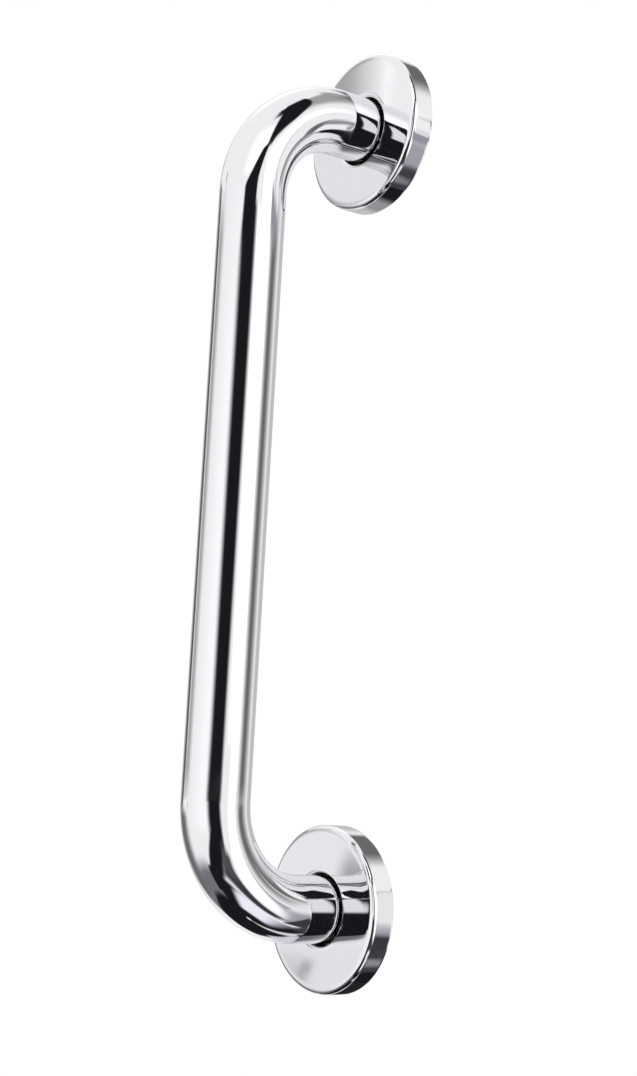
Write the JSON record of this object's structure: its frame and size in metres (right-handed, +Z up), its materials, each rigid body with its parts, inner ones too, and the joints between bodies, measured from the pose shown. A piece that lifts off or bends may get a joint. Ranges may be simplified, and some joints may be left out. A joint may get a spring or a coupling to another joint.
{
  "type": "grab bar",
  "caption": "Short wall grab bar: a polished round tube bent to the wall at its ends, with round push-on covers over its screw flanges.",
  "frame": {"origin": "on the wall plane, midway between the flanges, on the bar's plane of symmetry", "axes": "+Z up along the bar, +Y into the wall, so the bar stands out towards -Y, +X to the right for someone facing the wall"},
  "size_m": [0.062, 0.0725, 0.362],
  "materials": {
    "tube_chrome": "polished",
    "cover_chrome": "polished",
    "flange_steel": "satin"
  },
  "bodies": {
    "bar": {"grab_tube": "tube_chrome", "upper_flange": "flange_steel", "lower_flange": "flange_steel"},
    "upper_cover": {"upper_cover": "cover_chrome"},
    "lower_cover": {"lower_cover": "cover_chrome"}
  },
  "joints": [
    {"name": "upper_cover_slide", "type": "slide", "parent": "bar", "child": "upper_cover", "axis": [0, -1, 0], "range_m": [0, 0.018]},
    {"name": "lower_cover_slide", "type": "slide", "parent": "bar", "child": "lower_cover", "axis": [0, -1, 0], "range_m": [0, 0.018]}
  ]
}
